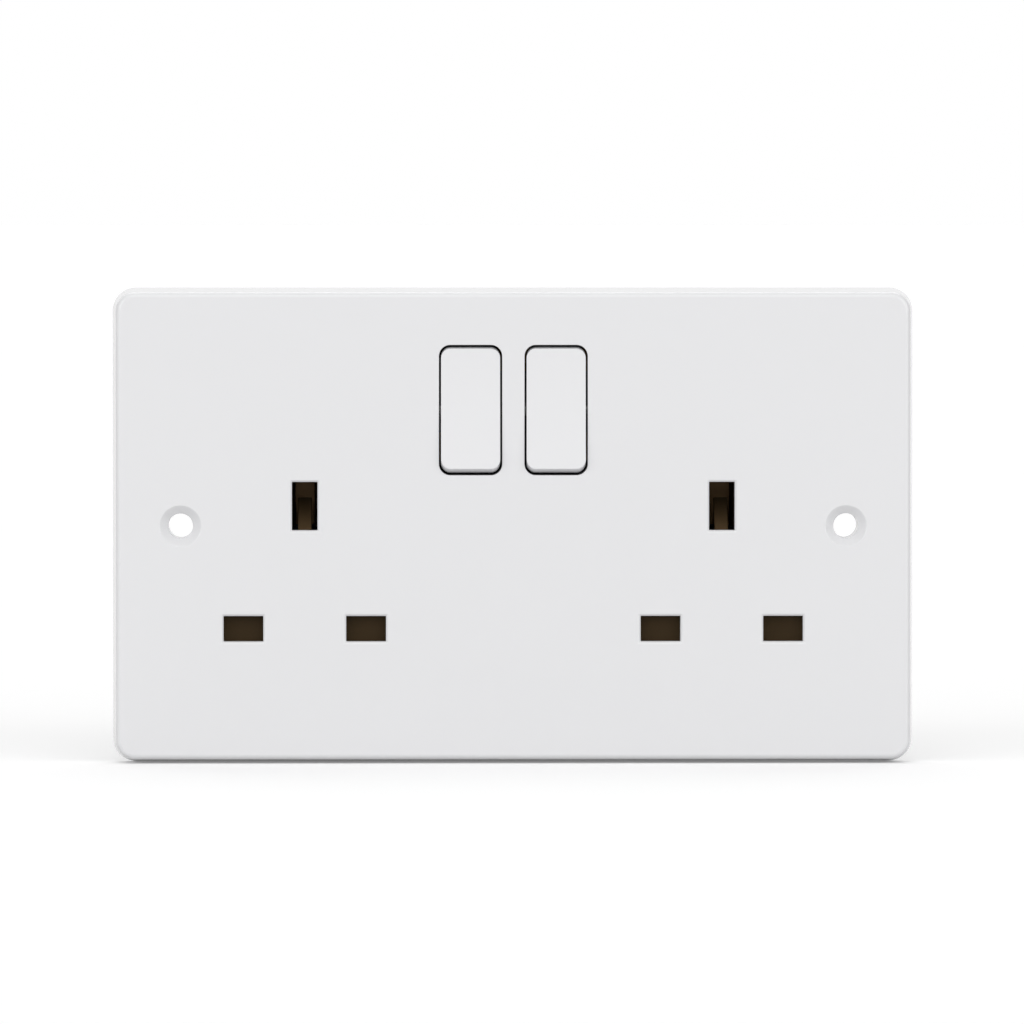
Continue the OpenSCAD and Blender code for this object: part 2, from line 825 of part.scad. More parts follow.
// The shutter: a cover over the line and neutral slots, a stem and a sloping cam in the earth slot.
module shutter(side) {
  web_foot = cam_foot - cam_web;
  color(brown)
    translate([side * outlet_x, 0, 0])
      union() {
        box([-shutter_w / 2, cover_y, cover_foot], [shutter_w / 2, cover_back, cover_top]);
        box([-stem_w / 2, cover_y, cover_foot], [stem_w / 2, cover_back, cam_foot]);
        along_x(-cam_w / 2, cam_w / 2)
          polygon([
            [cover_y, web_foot],
            [cover_y, cam_foot],
            [-cam_crest_y, cam_foot + cam_rise],
            [-cam_crest_y, cam_foot],
            [cover_back, web_foot]
          ]);
        translate([0, coil_y, cover_foot - peg_len])
          cylinder(d = peg_d, h = peg_len + shutter_t);
      }
}

module shutter_spring(side) {
  color(steel)
    translate([side * outlet_x, coil_y, ledge_z])
      coil(shutter_coil_d, shutter_wire_d, shutter_turns, shutter_spring_len);
}

// A terminal block: the conductor goes in from above, and the screw clamps it from behind.
module terminal_block() {
  color(brass)
    difference() {
      box([-block_s / 2, 0, -block_s / 2], [block_s / 2, block_s, block_s / 2]);
      translate([0, bore_dy, block_s / 2 - wire_bore_len])
        cylinder(r = bore_r, h = wire_bore_len + over);
      round_y(0, 0, clamp_d + fit_gap, bore_dy, block_s + over);
    }
}

// A headless terminal screw, backed off so that the conductor's bore is clear.
module clamp_screw() {
  color(steel)
    translate([0, clamp_dy, 0])
      difference() {
        round_y(0, 0, clamp_d, 0, clamp_len);
        box([-clamp_d, clamp_len - driver_depth, -driver_w / 2], [clamp_d, clamp_len + over, driver_w / 2]);
      }
}

// The places of the terminals.
module at_live() {
  translate([live_block_x, live_block_y, live_block_z])
    children();
}

module at_neutral() {
  translate([0, live_block_y, neutral_block_z])
    rotate([0, 180, 0])
      children();
}

module at_earth(side) {
  translate([side * outlet_x, earth_block_y, earth_block_z])
    children();
}

// The rear housing's outline, less a wall all round when asked.
module housing_outline(wall) {
  x = half_w - wall;
  z = half_h - wall;
  c = housing_chamfer;
  polygon([
    [c - x, -z], [x - c, -z], [x, c - z], [x, z - c],
    [x - c, z], [c - x, z], [-x, z - c], [-x, c - z]
  ]);
}

// A pad on the housing's floor that a strip lies on.
module pad(x, z, top) {
  box([x - pad_s / 2, top, z - pad_s / 2], [x + pad_s / 2, floor_y + housing_t / 2, z + pad_s / 2]);
}

// Pads, barriers and posts inside the rear housing.
module housing_inside() {
  rail_x = stem_w / 2 + rib_t;
  rest_z = live_strip_z + pad_s / 2;
  for (s = [-1, 1]) {
    for (d = [-1, 1]) {
      pad(s * outlet_x + d * line_dx, line_z, strip_back);
      translate([s * outlet_x + d * (rail_x + rib_t / 2), 0, 0])
        box([-rib_t / 2, cover_back + shutter_gap, cover_foot - rib_t],
          [rib_t / 2, floor_y + housing_t / 2, cover_top + 2 * rib_t]);
    }
    pad(s * rocker_pitch / 2, rest_z, strip_back);
    pad(s * rocker_pitch / 2, shelf_top - pad_s / 2, strip_back);
    pad(s * outlet_x, earth_z, earth_back);
  }
  pad(live_block_x - block_s / 2 - pad_s, shelf_top - pad_s / 2, strip_back);
  pad(block_s / 2 + pad_s, neutral_strip_top - pad_s / 2, strip_back);
  box([-rib_t / 2, -housing_front, -lower_post_z], [rib_t / 2, strip_y - rib_t / 2, shelf_foot - rib_t]);
  box([-rib_t / 2, strip_y - rib_t, -lower_post_z],
    [rib_t / 2, floor_y + housing_t / 2, shelf_foot - rib_t]);
  at_posts()
    round_y(0, 0, post_d, -housing_front, floor_y + housing_t / 2);
}

module rear_housing() {
  color(grey)
    difference() {
      union() {
        difference() {
          slab(-housing_front, housing_back)
            housing_outline(0);
          slab(-housing_front - over, floor_y)
            housing_outline(housing_t);
        }
        housing_inside();
      }
      at_posts() {
        round_y(0, 0, assembly_d + 4 * fit_gap, -housing_front - over, housing_back + over);
        round_y(0, 0, assembly_head_d + 8 * fit_gap, screw_seat_y, housing_back + over);
      }
      round_y(live_block_x, live_block_z, access_d, floor_y - over, housing_back + over);
      round_y(0, neutral_block_z, access_d, floor_y - over, housing_back + over);
      for (s = [-1, 1]) {
        round_y(s * outlet_x, earth_block_z, access_d, earth_back, housing_back + over);
        box([s * outlet_x - notch_w / 2, -housing_front - over, half_h - 2 * housing_t],
          [s * outlet_x + notch_w / 2, earth_notch_y, half_h + over]);
      }
      box([live_block_x - notch_w / 2, -housing_front - over, half_h - 2 * housing_t],
        [live_block_x + notch_w / 2, notch_y, half_h + over]);
      box([-notch_w / 2, -housing_front - over, -half_h - over],
        [notch_w / 2, notch_y, 2 * housing_t - half_h]);
    }
}

module assembly_screws() {
  color(steel)
    at_posts()
      difference() {
        union() {
          round_y(0, 0, assembly_d - fit_gap,
            screw_seat_y - assembly_len, screw_seat_y + assembly_head_h / 2);
          round_y(0, 0, assembly_head_d, screw_seat_y, screw_seat_y + assembly_head_h);
        }
        for (turn = [0, 90])
          translate([0, screw_seat_y + assembly_head_h, 0])
            rotate([0, turn, 0])
              box([-assembly_head_d / 3, -driver_depth, -driver_w / 2],
                [assembly_head_d / 3, over, driver_w / 2]);
      }
}

front_plate();
rear_housing();
assembly_screws();
rocker(-1);  // rocker_left
rocker(1);  // rocker_right
plunger(-1);  // plunger_left
plunger(1);  // plunger_right
plunger_spring(-1);  // plunger_spring_left
plunger_spring(1);  // plunger_spring_right
contact_blade(-1);  // contact_blade_left
contact_blade(1);  // contact_blade_right
moving_tip(-1);  // moving_tip_left
moving_tip(1);  // moving_tip_right
fixed_contact_tips();
live_bar();
live_contact(-1);  // live_contact_left
live_contact(1);  // live_contact_right
neutral_strip();
earth_strip();
shutter(-1);  // shutter_left
shutter(1);  // shutter_right
shutter_spring(-1);  // shutter_spring_left
shutter_spring(1);  // shutter_spring_right
at_live() terminal_block();  // live_terminal
at_neutral() terminal_block();  // neutral_terminal
at_earth(-1) terminal_block();  // earth_terminal_left
at_earth(1) terminal_block();  // earth_terminal_right
at_live() clamp_screw();  // live_terminal_screw
at_neutral() clamp_screw();  // neutral_terminal_screw
at_earth(-1) clamp_screw();  // earth_terminal_screw_left
at_earth(1) clamp_screw();  // earth_terminal_screw_right
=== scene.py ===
import json
import math
import bmesh
import bpy
import numpy as np
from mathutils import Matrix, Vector

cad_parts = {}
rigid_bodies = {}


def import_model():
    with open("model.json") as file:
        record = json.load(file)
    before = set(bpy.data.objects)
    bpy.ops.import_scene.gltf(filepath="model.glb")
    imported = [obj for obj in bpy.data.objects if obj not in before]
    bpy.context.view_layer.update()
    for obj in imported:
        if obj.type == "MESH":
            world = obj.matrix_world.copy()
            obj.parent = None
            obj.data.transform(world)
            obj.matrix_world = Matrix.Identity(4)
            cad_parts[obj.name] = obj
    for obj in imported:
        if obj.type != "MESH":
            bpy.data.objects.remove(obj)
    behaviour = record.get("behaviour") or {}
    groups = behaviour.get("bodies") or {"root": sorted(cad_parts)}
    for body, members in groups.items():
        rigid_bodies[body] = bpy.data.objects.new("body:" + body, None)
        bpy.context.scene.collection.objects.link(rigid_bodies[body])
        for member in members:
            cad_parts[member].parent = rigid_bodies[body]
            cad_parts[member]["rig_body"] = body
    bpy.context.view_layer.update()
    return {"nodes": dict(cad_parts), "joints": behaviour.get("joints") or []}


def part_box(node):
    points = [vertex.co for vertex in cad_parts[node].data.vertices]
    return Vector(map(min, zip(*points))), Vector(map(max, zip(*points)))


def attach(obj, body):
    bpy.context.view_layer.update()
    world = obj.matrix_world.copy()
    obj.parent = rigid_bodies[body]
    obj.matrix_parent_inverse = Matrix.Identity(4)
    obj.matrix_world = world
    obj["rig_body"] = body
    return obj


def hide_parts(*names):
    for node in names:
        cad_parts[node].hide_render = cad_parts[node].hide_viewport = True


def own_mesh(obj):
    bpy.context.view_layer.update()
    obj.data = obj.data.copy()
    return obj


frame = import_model()

mm = 0.001
joints = {joint["name"]: joint for joint in frame["joints"]}


# finishes

noiseSettings = {"driftDetail": 3, "grainDetail": 4, "grainLow": 0.3, "grainHigh": 0.7, "bump": 0.3}

finishes = {
    "whiteMoulding": {"slot": "white_moulding", "colour": (0.80, 0.80, 0.812), "shade": (0.79, 0.79, 0.802),
                      "driftScale": 60, "rough": (0.15, 0.19), "grainScale": 900, "relief": 0.004 * mm,
                      "bump": 0.05,
                      # painted shade on the rocker pivots: the fade ends above the plate, so the painted
                      # shade is even over the pivots
                      "paintedLightAndShade": {"colour": (0.012, 0.011, 0.010), "top": 100 * mm, "foot": 99 * mm}},
    "darkMoulding": {"slot": "dark_moulding", "colour": (0.055, 0.056, 0.06), "shade": (0.04, 0.041, 0.045),
                     "driftScale": 90, "rough": (0.5, 0.65), "grainScale": 3500, "relief": 0.05 * mm,
                     "bump": 0.5},
    "brownPlastic": {"slot": "brown_plastic", "colour": (0.037, 0.021, 0.006), "shade": (0.027, 0.015, 0.004),
                     "driftScale": 200, "shine": 0.12, "rough": (0.5, 0.6), "grainScale": 2500,
                     "relief": 0.02 * mm, "bump": 0.25,
                     # painted light on the shutter's cam: its forward faces fade to a lighter brown from
                     # "top" down to "foot"
                     "paintedLightAndShade": {"colour": (0.09, 0.055, 0.024), "top": 4.5 * mm, "foot": -1 * mm}},
    "paleNylon": {"slot": "plunger_plastic", "colour": (0.72, 0.70, 0.62), "shade": (0.66, 0.64, 0.56),
                  "driftScale": 300, "rough": (0.35, 0.45), "grainScale": 2500, "relief": 0.02 * mm,
                  "bump": 0.2},
    "contactBrass": {"slot": "contact_brass", "colour": (0.19, 0.12, 0.062), "shade": (0.15, 0.095, 0.048),
                     "driftScale": 150, "metal": 1, "rough": (0.38, 0.5), "grainScale": 900,
                     "stretch": (0.15, 1, 6), "relief": 0.01 * mm},
    "screwBrass": {"slot": "clamp_screw_brass", "colour": (0.80, 0.61, 0.30), "shade": (0.70, 0.52, 0.24),
                   "driftScale": 300, "metal": 1, "rough": (0.2, 0.34), "grainScale": 2500,
                   "relief": 0.01 * mm},
    "silverAlloy": {"slot": "silver_alloy", "colour": (0.86, 0.85, 0.82), "shade": (0.78, 0.77, 0.74),
                    "driftScale": 500, "metal": 1, "rough": (0.18, 0.3), "grainScale": 2500,
                    "relief": 0.01 * mm},
    "springSteel": {"slot": "spring_steel", "colour": (0.62, 0.62, 0.64), "shade": (0.52, 0.52, 0.54),
                    "driftScale": 600, "metal": 1, "rough": (0.2, 0.32), "grainScale": 3500,
                    "relief": 0.01 * mm},
    "platedSteel": {"slot": "plated_steel", "colour": (0.70, 0.71, 0.73), "shade": (0.60, 0.61, 0.64),
                    "driftScale": 300, "metal": 1, "rough": (0.2, 0.36), "grainScale": 2000,
                    "relief": 0.01 * mm},
}


def addNoise(nodes, links, coords, scale, detail):
    # A soft noise from 0 to 1, "scale" waves a metre.
    noise = nodes.new("ShaderNodeTexNoise")
    noise.inputs["Scale"].default_value = scale
    noise.inputs["Detail"].default_value = detail
    links.new(coords, noise.inputs["Vector"])
    return noise.outputs["Fac"]


def addMix(nodes, links, factor, colour):
    # Sockets 6 and 7 are the colours at factor 0 and 1, and output 2 is the colour between them.
    mix = nodes.new("ShaderNodeMix")
    mix.data_type = "RGBA"
    mix.inputs[7].default_value = (*colour, 1)
    links.new(factor, mix.inputs["Factor"])
    return mix


def paintedLightAndShadeFactor(nodes, links, coords, paintedLightAndShade):
    # The face mask of painted light and shade, 0 or 1, times a fade that comes in from height "top" down to
    # "foot".
    paintedLightAndShadeMask = nodes.new("ShaderNodeAttribute")
    paintedLightAndShadeMask.attribute_name = "paintedLightAndShadeMask"
    height = nodes.new("ShaderNodeSeparateXYZ")
    links.new(coords, height.inputs[0])
    fade = nodes.new("ShaderNodeMapRange")
    fade.inputs["From Min"].default_value = paintedLightAndShade["top"]
    fade.inputs["From Max"].default_value = paintedLightAndShade["foot"]
    links.new(height.outputs["Z"], fade.inputs["Value"])
    links.new(paintedLightAndShadeMask.outputs["Fac"], fade.inputs["To Max"])
    return fade.outputs["Result"]


def makeFinish(name, look, n):
    # The base colour drifts between "colour" and "shade" with a soft noise in object coordinates, and painted
    # light and shade lies over it where a finish has it. A finer noise, stretched along the axes, sets the
    # roughness and lifts the surface.
    mat = bpy.data.materials.new(name)
    mat.use_nodes = True
    nodes, links = mat.node_tree.nodes, mat.node_tree.links
    shader = nodes["Principled BSDF"]
    shader.inputs["Metallic"].default_value = look.get("metal", 0)
    shader.inputs["Specular IOR Level"].default_value = look.get("shine", 0.5)
    coords = nodes.new("ShaderNodeTexCoord").outputs["Object"]

    drift = addNoise(nodes, links, coords, look["driftScale"], n["driftDetail"])
    tint = addMix(nodes, links, drift, look["shade"])
    tint.inputs[6].default_value = (*look["colour"], 1)
    if "paintedLightAndShade" in look:
        # painted light and shade, mixed over the base colour where the face mask is set
        paintedLightAndShadeMix = addMix(nodes, links, paintedLightAndShadeFactor(nodes, links, coords, look["paintedLightAndShade"]), look["paintedLightAndShade"]["colour"])
        links.new(tint.outputs[2], paintedLightAndShadeMix.inputs[6])
        links.new(paintedLightAndShadeMix.outputs[2], shader.inputs["Base Color"])
    else:
        links.new(tint.outputs[2], shader.inputs["Base Color"])

    stretch = nodes.new("ShaderNodeMapping")
    stretch.inputs["Scale"].default_value = look.get("stretch", (1, 1, 1))
    links.new(coords, stretch.inputs["Vector"])
    grain = addNoise(nodes, links, stretch.outputs["Vector"], look["grainScale"], n["grainDetail"])
    rough = nodes.new("ShaderNodeMapRange")
    rough.inputs["From Min"].default_value = n["grainLow"]
    rough.inputs["From Max"].default_value = n["grainHigh"]
    rough.inputs["To Min"].default_value = look["rough"][0]
    rough.inputs["To Max"].default_value = look["rough"][1]
    links.new(grain, rough.inputs["Value"])
    links.new(rough.outputs["Result"], shader.inputs["Roughness"])
    bump = nodes.new("ShaderNodeBump")
    bump.inputs["Strength"].default_value = look.get("bump", n["bump"])
    bump.inputs["Distance"].default_value = look["relief"]
    links.new(grain, bump.inputs["Height"])
    links.new(bump.outputs["Normal"], shader.inputs["Normal"])
    return mat


materials = {name: makeFinish(name, look, noiseSettings) for name, look in finishes.items()}
print("finishes ready:", len(materials))

nodeFinishes = {
    "whiteMoulding": ["front_plate", "rocker_left", "rocker_right"],
    "darkMoulding": ["rear_housing"],
    "brownPlastic": ["shutter_left", "shutter_right"],
    "paleNylon": ["plunger_left", "plunger_right"],
    "springSteel": ["plunger_spring_left", "plunger_spring_right", "shutter_spring_left",
                    "shutter_spring_right"],
    "silverAlloy": ["moving_tip_left", "moving_tip_right", "fixed_contact_tips"],
    "platedSteel": ["assembly_screws"],
    "screwBrass": ["live_terminal_screw", "neutral_terminal_screw", "earth_terminal_screw_left",
                   "earth_terminal_screw_right"],
    "contactBrass": ["contact_blade_left", "contact_blade_right", "live_bar", "live_contact_left",
                     "live_contact_right", "neutral_strip", "earth_strip", "live_terminal",
                     "neutral_terminal", "earth_terminal_left", "earth_terminal_right"],
}
finishOf = {nodeName: key for key, nodeNames in nodeFinishes.items() for nodeName in nodeNames}
for nodeName, finish in finishOf.items():
    nodeMesh = frame["nodes"][nodeName].data
    nodeMesh.materials.clear()
    nodeMesh.materials.append(materials[finish])
print("frame nodes finished:", len(finishOf))


# shapes

shapeSettings = {"sharpAngle": 38, "mostCutShare": 0.45, "poleShare": 0.01}
axisGap = 0.02 * mm  # a profile starts and ends this far from its axis, and a fan of faces closes it


def smoothFaces(mesh, sharpAngle):
    # Every face is smooth, and an edge is sharp where its faces turn by more than "sharpAngle" degrees.
    mesh.polygons.foreach_set("use_smooth", np.ones(len(mesh.polygons), bool))
    mesh.set_sharp_from_angle(angle=math.radians(sharpAngle))


def meshFrom(name, grids):
    # Each grid is an array of points, rows by columns by 3: its rows are closed loops that follow each other.
    # Quads join each row to the next, and a fan to the loop's middle closes the first and the last row.
    verts, faces, start = [], [], 0
    for grid in grids:
        rows, cols = grid.shape[:2]
        ids = np.arange(rows * cols).reshape(rows, cols) + start
        following = np.roll(ids, -1, axis=1)
        quads = np.stack([ids[:-1], following[:-1], following[1:], ids[1:]], axis=-1).reshape(-1, 4)
        first, last = start + rows * cols, start + rows * cols + 1
        foot = np.stack([following[0], ids[0], np.full(cols, first)], axis=-1)
        top = np.stack([ids[-1], following[-1], np.full(cols, last)], axis=-1)
        verts.append(np.concatenate([grid.reshape(-1, 3), [grid[0].mean(axis=0)], [grid[-1].mean(axis=0)]]))
        faces += quads.tolist() + foot.tolist() + top.tolist()
        start += rows * cols + 2
    mesh = bpy.data.meshes.new(name)
    mesh.from_pydata(np.concatenate(verts).tolist(), [], faces)
    work = bmesh.new()
    work.from_mesh(mesh)
    bmesh.ops.recalc_face_normals(work, faces=work.faces)
    work.to_mesh(mesh)
    work.free()
    smoothFaces(mesh, shapeSettings["sharpAngle"])
    return mesh


def place(points, origin, along):
    # Points about their own Z go to an axis that starts at "origin" and runs along "along", square to X.
    up = np.array(along, float) / np.linalg.norm(along)
    right = np.array([1.0, 0.0, 0.0])
    over = np.cross(up, right)
    return np.array(origin) + points[..., :1] * right + points[..., 1:2] * over + points[..., 2:] * up


def softLine(corners, radius, steps=5):
    # A line through corners, each corner but the ends cut by a curve that starts "radius" before it
    # and ends "radius" past it: (1-t)^2 A + 2t(1-t) K + t^2 B, with K the corner.
    k = np.array(corners, float)
    leg = np.diff(k, axis=0)
    size = np.linalg.norm(leg, axis=1, keepdims=True)
    cut = np.minimum(radius, shapeSettings["mostCutShare"] * np.minimum(size[:-1], size[1:]))
    a = k[1:-1] - leg[:-1] / size[:-1] * cut
    b = k[1:-1] + leg[1:] / size[1:] * cut
    t = np.linspace(0, 1, steps)[None, :, None]
    curve = (1 - t) ** 2 * a[:, None] + 2 * t * (1 - t) * k[1:-1, None] + t ** 2 * b[:, None]
    return np.concatenate([k[:1], curve.reshape(-1, 2), k[-1:]])


def domed(radius, ballR, base, steps=12):
    # An arc of a ball of radius "ballR" that starts at "radius" and height "base" and ends on the axis.
    r = radius * np.cos(np.linspace(0, math.pi / 2, steps))
    r[-1] = shapeSettings["poleShare"] * radius
    z = np.sqrt(ballR ** 2 - r ** 2)
    return np.stack([r, base + z - z[0]], axis=-1)


def turned(profile, sides):
    # A profile of radius and height turned about Z: (r cos a, r sin a, z).
    a = np.arange(sides) * 2 * math.pi / sides
    r, z = profile[:, :1], profile[:, 1:]
    return np.stack([r * np.cos(a), r * np.sin(a), z + 0 * a], axis=-1)


def makePiece(name, mesh, nodeName):
    # A piece takes its node's finish, rides on its node's body and stands in for the node.
    piece = bpy.data.objects.new(name, mesh)
    bpy.context.scene.collection.objects.link(piece)
    finish = finishOf[nodeName]
    mesh.materials.clear()
    mesh.materials.append(materials[finish])
    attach(piece, frame["nodes"][nodeName]["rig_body"])
    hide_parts(nodeName)
    return piece


# mouldings and pressings: merged copies of their nodes with their edges rounded

softEdges = {
    "front_plate": 0.1 * mm, "rear_housing": 0.15 * mm,
    "rocker_left": 0.1 * mm, "rocker_right": 0.1 * mm,
    "shutter_left": 0.15 * mm, "shutter_right": 0.15 * mm,
    "contact_blade_left": 0.08 * mm, "contact_blade_right": 0.08 * mm, "live_bar": 0.08 * mm,
    "live_contact_left": 0.08 * mm, "live_contact_right": 0.08 * mm, "neutral_strip": 0.08 * mm,
    "earth_strip": 0.08 * mm, "live_terminal": 0.2 * mm, "neutral_terminal": 0.2 * mm,
    "earth_terminal_left": 0.2 * mm, "earth_terminal_right": 0.2 * mm,
}
mouldSettings = {"mergeGap": 0.002 * mm, "flatAngle": 0.2, "sharpAngle": 32, "segments": 3,
                 "rockerHalf": 5.4 * mm, "camLean": 0.5}


def maskPaintedLightAndShade(mesh, nodeName, m):
    # A rocker's pivots get painted shade, near black as if shaded in their gaps: faces whose middle is
    # further than "rockerHalf" from its middle.
    # A shutter's cam gets painted light, a lighter brown lower down: faces that look forwards and up, -ny and
    # nz over "camLean".
    centres, normals = np.empty(len(mesh.polygons) * 3), np.empty(len(mesh.polygons) * 3)
    mesh.polygons.foreach_get("center", centres)
    mesh.polygons.foreach_get("normal", normals)
    centres, normals = centres.reshape(-1, 3), normals.reshape(-1, 3)
    if nodeName.startswith("rocker"):
        # painted shade: the rocker's pivot faces, painted near black as if shaded in their gaps
        paintedLightAndShadeMask = np.abs(centres[:, 0] - joints[nodeName + "_hinge"]["pos_m"][0]) > m["rockerHalf"]
    else:
        # painted light: the cam's faces that look forwards and up, lighter lower down as if lit there
        paintedLightAndShadeMask = (normals[:, 1] < -m["camLean"]) & (normals[:, 2] > m["camLean"])
    mesh.attributes.new("paintedLightAndShadeMask", "FLOAT", "FACE").data.foreach_set("value", paintedLightAndShadeMask.astype(np.float32))


def dressCopy(nodeName, edge, m):
    # The node's triangles are merged where points lie within "mergeGap", and those that turn by less than
    # "flatAngle" degrees become one flat. Edges over "sharpAngle" degrees get a round of width "edge".
    mesh = frame["nodes"][nodeName].data.copy()
    mesh.name = nodeName + "_dressed"
    work = bmesh.new()
    work.from_mesh(mesh)
    bmesh.ops.remove_doubles(work, verts=work.verts, dist=m["mergeGap"])
    flatAngle = math.radians(m["flatAngle"])
    bmesh.ops.dissolve_limit(work, angle_limit=flatAngle, verts=work.verts, edges=work.edges)
    work.to_mesh(mesh)
    work.free()
    smoothFaces(mesh, m["sharpAngle"])
    if nodeName.startswith(("rocker", "shutter")):
        # rockers get painted shade on their pivots, shutters painted light on their cams
        maskPaintedLightAndShade(mesh, nodeName, m)
    piece = makePiece(nodeName + "_dressed", mesh, nodeName)
    bevel = piece.modifiers.new("roundedEdges", "BEVEL")
    bevel.width = edge
    bevel.segments = m["segments"]
    bevel.limit_method = "ANGLE"
    bevel.angle_limit = math.radians(m["sharpAngle"])
    bevel.use_clamp_overlap = False
    piece.modifiers.new("flatsStayFlat", "WEIGHTED_NORMAL").keep_sharp = True


for nodeName, edge in softEdges.items():
    dressCopy(nodeName, edge, mouldSettings)
print("mouldings and pressings ready:", len(softEdges))


# coil springs

plungerSpring = {"meanD": 1.9 * mm, "wire": 0.36 * mm, "turns": 6, "start": -1.44 * mm, "length": 5.98 * mm}
shutterSpring = {"meanD": 3.0 * mm, "wire": 0.5 * mm, "turns": 7, "length": 13 * mm}
coilSettings = {"perTurn": 40, "sides": 12, "deadTurns": 0.8, "closedShare": 1.02, "opening": 3}


def coilPoints(s, c):
    # The wire's middle runs at angle 2 pi n and height z(n). z rises by "closedShare" of a wire each turn at
    # the ends and faster between them. The section is a circle across the wire, outwards and up.
    n = np.linspace(0, s["turns"], s["turns"] * c["perTurn"] + 1)
    fromFoot = np.clip((n - c["deadTurns"]) * c["opening"], 0, 1)
    fromTop = np.clip((s["turns"] - n - c["deadTurns"]) * c["opening"], 0, 1)
    loose = fromFoot * fromTop
    spare = s["length"] - s["wire"] - s["turns"] * s["wire"] * c["closedShare"]
    rise = s["wire"] * c["closedShare"] * n + spare * np.cumsum(loose) / loose.sum()
    a, f = 2 * math.pi * n[:, None], np.arange(c["sides"])[None, :] * 2 * math.pi / c["sides"]
    r = s["meanD"] / 2 + s["wire"] / 2 * np.cos(f)
    z = s["wire"] / 2 + rise[:, None] + s["wire"] / 2 * np.sin(f)
    return np.stack([r * np.cos(a), r * np.sin(a), z], axis=-1)


def alongStem(side):
    # The stem's axis runs back from the rocker's axis, against the plunger's slide.
    return joints["rocker_%s_hinge" % side]["pos_m"], -np.array(joints["plunger_%s_slide" % side]["axis"])


def addSpring(name, s, foot, along):
    # A coil with its foot at "foot", running along "along".
    coil = place(coilPoints(s, coilSettings), foot, along)
    piece = makePiece(name + "_coil", meshFrom(name, [coil]), name)
    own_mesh(piece)


for side in ("left", "right"):
    axisAt, back = alongStem(side)
    foot = np.array(axisAt) + plungerSpring["start"] * back
    addSpring("plunger_spring_" + side, plungerSpring, foot, back)
    low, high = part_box("shutter_spring_" + side)
    foot = ((low.x + high.x) / 2, (low.y + high.y) / 2, low.z)
    addSpring("shutter_spring_" + side, shutterSpring, foot, (0, 0, 1))
print("springs ready")


# plungers and contact tips

plunger = {"radius": 1.74 * mm, "back": 1.4 * mm, "reach": 9 * mm, "cupFloor": 4.6 * mm, "cupR": 1.25 * mm,
           "lip": 0.12 * mm, "sides": 64}
movingTip = {"arm": 8.5 * mm, "radius": 1.6 * mm, "edge": 0.4 * mm, "domeR": 4 * mm, "shankR": 0.8 * mm,
             "blade": 1 * mm, "soften": 0.08 * mm, "sides": 64}
fixedTip = {"radius": 1.8 * mm, "thick": 0.8 * mm, "shankR": 0.8 * mm, "soften": 0.08 * mm, "sides": 64}


def addPlunger(side, p):
    # Turned about the stem: up the cup's floor and wall, over the rim, down the outside and round the ball.
    axisAt, back = alongStem(side)
    cup = softLine([[axisGap, p["cupFloor"]], [p["cupR"], p["cupFloor"]], [p["cupR"], p["back"]],
                    [p["radius"], p["back"]], [p["radius"], p["reach"] - 2 * p["radius"]]], p["lip"])
    ball = domed(p["radius"], p["radius"], p["reach"] - p["radius"])
    grid = place(turned(np.concatenate([cup, ball]), p["sides"]), axisAt, back)
    name = "plunger_" + side
    makePiece(name + "_turned", meshFrom(name, [grid]), name)


def addMovingTip(side, t):
    # Turned about a line square to the blade, which leans by half its swing: a shank, a head and its dome.
    hinge = joints["blade_%s_hinge" % side]
    tilt = -math.radians(hinge["range_deg"][0]) / 2
    outOf = np.array([0, math.cos(tilt), math.sin(tilt)])
    upBlade = np.array([0, -math.sin(tilt), math.cos(tilt)])
    head = softLine([[axisGap, -t["blade"]], [t["shankR"], -t["blade"]], [t["shankR"], 0], [t["radius"], 0],
                     [t["radius"], t["edge"]]], t["soften"])
    dome = domed(t["radius"], t["domeR"], t["edge"])[1:]  # its first point is the head's last
    grid = turned(np.concatenate([head, dome]), t["sides"])
    grid = place(grid, np.array(hinge["pos_m"]) + t["arm"] * upBlade, outOf)
    name = "moving_tip_" + side
    makePiece(name + "_turned", meshFrom(name, [grid]), name)


def addFixedTips(t):
    # Two flat heads on shanks, turned about Y, one at each end of their node's box.
    name = "fixed_contact_tips"
    low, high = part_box(name)
    length = high.y - low.y
    line = softLine([[axisGap, 0], [t["radius"], 0], [t["radius"], t["thick"]], [t["shankR"], t["thick"]],
                     [t["shankR"], length], [axisGap, length]], t["soften"])
    grids = [place(turned(line, t["sides"]), (x, low.y, (low.z + high.z) / 2), (0, 1, 0))
             for x in (low.x + t["radius"], high.x - t["radius"])]
    makePiece(name + "_turned", meshFrom(name, grids), name)


for side in ("left", "right"):
    addPlunger(side, plunger)
    addMovingTip(side, movingTip)
addFixedTips(fixedTip)
print("plungers and contact tips ready")


# screws

threadSettings = {"perTurn": 8, "crest": 1.6, "flank": 3.2, "fallShare": 1.2}
clampScrew = {"pitch": 0.7 * mm, "depth": 0.3 * mm, "sides": 48, "end": 0.35 * mm,
              "slotDepth": 1 * mm, "slotWidth": 0.8 * mm, "rim": 0.2 * mm, "rimShare": 0.9, "sunk": 0.15 * mm,
              "arcPoints": 25, "chordPoints": 12}
housingScrew = {"pitch": 1.0 * mm, "depth": 0.38 * mm, "sides": 96, "point": 2.2 * mm,
                "shankD": 2.94 * mm, "headD": 5.4 * mm, "headH": 2 * mm, "sunk": 0.3 * mm,
                "armReach": 1.5 * mm, "armHalf": 0.42 * mm, "recess": 1.3 * mm,
                "upperX": 48.5 * mm, "upperZ": 25 * mm, "lowerX": 15 * mm, "lowerZ": -10 * mm}
panShares = [(0.97, 0), (1, 0.04), (1, 0.42), (0.985, 0.56), (0.94, 0.7), (0.86, 0.83), (0.74, 0.93),
             (0.62, 0.985)]  # of the head's radius and height, from the seat up
mouthShares = [(1.05, 1), (1, 0.97)]  # of the cross's outline and the head's height
recessShares = [(0.72, 0.9), (0.4, 1)]  # of the cross's outline and the recess's depth
leastSine = 0.01  # keeps an arm's outline finite along its middle


